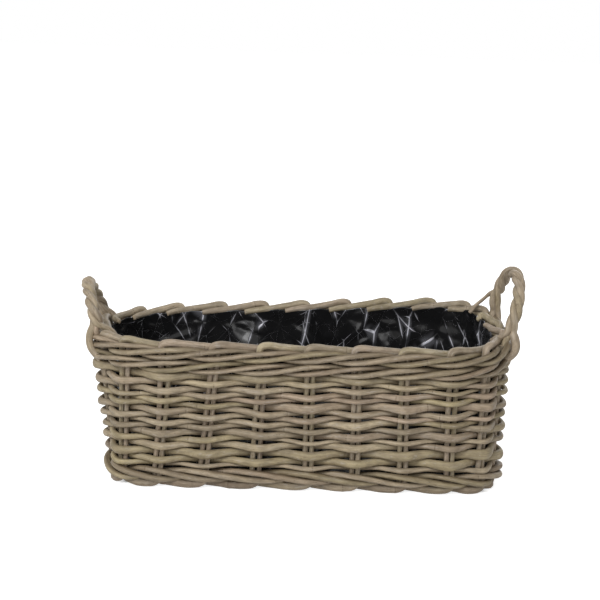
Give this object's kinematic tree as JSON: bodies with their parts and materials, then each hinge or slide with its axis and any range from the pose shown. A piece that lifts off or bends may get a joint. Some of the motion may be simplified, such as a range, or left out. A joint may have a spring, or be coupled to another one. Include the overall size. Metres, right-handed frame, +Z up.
{
  "type": "basket planter",
  "caption": "Oblong woven cane basket with rounded ends and flared sides, roped carrying handles at the ends and a black film liner inside, for holding plants.",
  "frame": {"origin": "middle of the overall length and width, on the ground under the basket", "axes": "+X along the basket's length towards the right-hand handle, +Y towards the back, +Z up"},
  "size_m": [0.4648, 0.2256, 0.2217],
  "materials": {
    "stake_cane": "matt grey-washed cane",
    "weaver_cane": "matt grey-washed cane",
    "wale_cane": "matt grey-washed cane",
    "handle_cane": "matt grey-washed cane",
    "base_wood": "sawn, unfinished",
    "liner_film": "glossy black polythene film"
  },
  "bodies": {
    "root": {"stake_01": "stake_cane", "stake_02": "stake_cane", "stake_03": "stake_cane", "stake_04": "stake_cane", "stake_05": "stake_cane", "stake_06": "stake_cane", "stake_07": "stake_cane", "stake_08": "stake_cane", "stake_09": "stake_cane", "stake_10": "stake_cane", "stake_11": "stake_cane", "stake_12": "stake_cane", "stake_13": "stake_cane", "stake_14": "stake_cane", "stake_15": "stake_cane", "stake_16": "stake_cane", "stake_17": "stake_cane", "stake_18": "stake_cane", "stake_19": "stake_cane", "stake_20": "stake_cane", "stake_21": "stake_cane", "stake_22": "stake_cane", "stake_23": "stake_cane", "stake_24": "stake_cane", "weaver_row_01": "weaver_cane", "weaver_row_02": "weaver_cane", "weaver_row_03": "weaver_cane", "weaver_row_04": "weaver_cane", "weaver_row_05": "weaver_cane", "weaver_row_06": "weaver_cane", "weaver_row_07": "weaver_cane", "weaver_row_08": "weaver_cane", "weaver_row_09": "weaver_cane", "weaver_row_10": "weaver_cane", "weaver_row_11": "weaver_cane", "weaver_row_12": "weaver_cane", "weaver_row_13": "weaver_cane", "weaver_row_14": "weaver_cane", "weaver_row_15": "weaver_cane", "weaver_row_16": "weaver_cane", "upper_wale_01": "wale_cane", "upper_wale_02": "wale_cane", "upper_wale_03": "wale_cane", "lower_wale_01": "wale_cane", "lower_wale_02": "wale_cane", "lower_wale_03": "wale_cane", "foot_wale_01": "wale_cane", "foot_wale_02": "wale_cane", "foot_wale_03": "wale_cane", "right_handle_strand_01": "handle_cane", "right_handle_strand_02": "handle_cane", "right_handle_strand_03": "handle_cane", "left_handle_strand_01": "handle_cane", "left_handle_strand_02": "handle_cane", "left_handle_strand_03": "handle_cane", "base_slat_front": "base_wood", "base_slat_back": "base_wood", "base_slat_left": "base_wood", "base_slat_right": "base_wood", "liner": "liner_film"}
  },
  "joints": []
}
